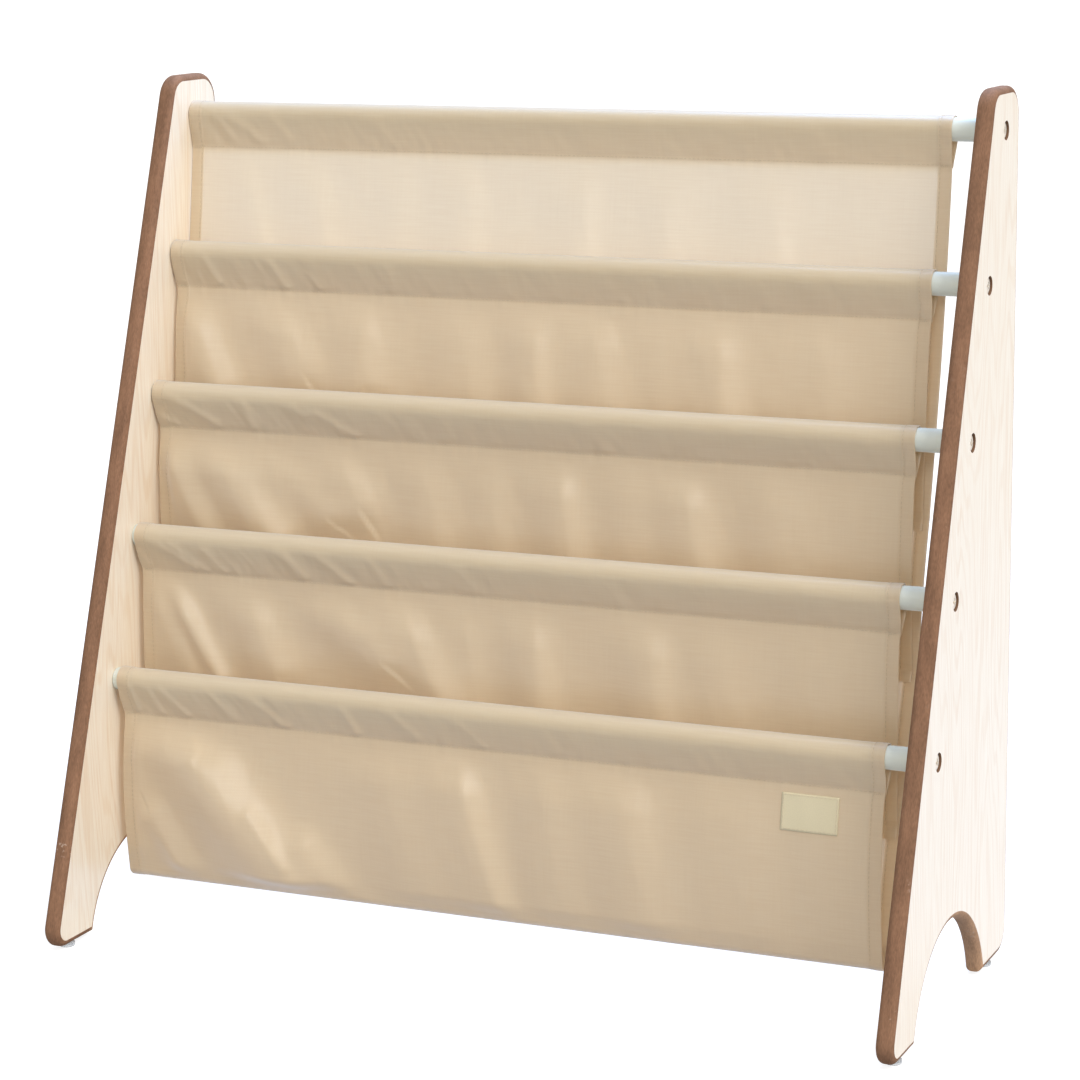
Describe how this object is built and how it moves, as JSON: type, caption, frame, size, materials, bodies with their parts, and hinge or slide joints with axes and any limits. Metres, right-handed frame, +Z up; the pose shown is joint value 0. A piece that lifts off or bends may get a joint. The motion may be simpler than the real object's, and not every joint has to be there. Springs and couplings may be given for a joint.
{
  "type": "sling bookshelf",
  "caption": "Children's sling bookshelf: leaning board side panels joined by round rods that carry a cloth sling with stepped face-out book pockets.",
  "frame": {"origin": "middle of the footprint, on the floor under the glides", "axes": "+X to the right seen from the front, -Y to the front, +Z up"},
  "size_m": [0.624, 0.2608, 0.603],
  "materials": {
    "panel_board": "pale wood-grain print on board, brown edge",
    "rod_coating": "white powder coat, satin",
    "insert_plastic": "moulded, natural",
    "screw_steel": "zinc plated",
    "glide_plastic": "moulded, translucent white",
    "sling_cloth": "plain-woven polyester canvas with a faint sheen",
    "label_cloth": "woven cotton tape, blank"
  },
  "bodies": {
    "root": {"side_panel_left": "panel_board", "floor_glide_front_left": "glide_plastic", "floor_glide_rear_left": "glide_plastic", "side_panel_right": "panel_board", "floor_glide_front_right": "glide_plastic", "floor_glide_rear_right": "glide_plastic", "rod_1": "rod_coating", "rod_insert_1_left": "insert_plastic", "rod_screw_1_left": "screw_steel", "rod_insert_1_right": "insert_plastic", "rod_screw_1_right": "screw_steel", "rod_2": "rod_coating", "rod_insert_2_left": "insert_plastic", "rod_screw_2_left": "screw_steel", "rod_insert_2_right": "insert_plastic", "rod_screw_2_right": "screw_steel", "rod_3": "rod_coating", "rod_insert_3_left": "insert_plastic", "rod_screw_3_left": "screw_steel", "rod_insert_3_right": "insert_plastic", "rod_screw_3_right": "screw_steel", "rod_4": "rod_coating", "rod_insert_4_left": "insert_plastic", "rod_screw_4_left": "screw_steel", "rod_insert_4_right": "insert_plastic", "rod_screw_4_right": "screw_steel", "rod_5": "rod_coating", "rod_insert_5_left": "insert_plastic", "rod_screw_5_left": "screw_steel", "rod_insert_5_right": "insert_plastic", "rod_screw_5_right": "screw_steel", "back_sheet": "sling_cloth", "pocket_panel_1": "sling_cloth", "pocket_panel_2": "sling_cloth", "pocket_panel_3": "sling_cloth", "pocket_panel_4": "sling_cloth", "blank_label": "label_cloth"}
  },
  "joints": []
}
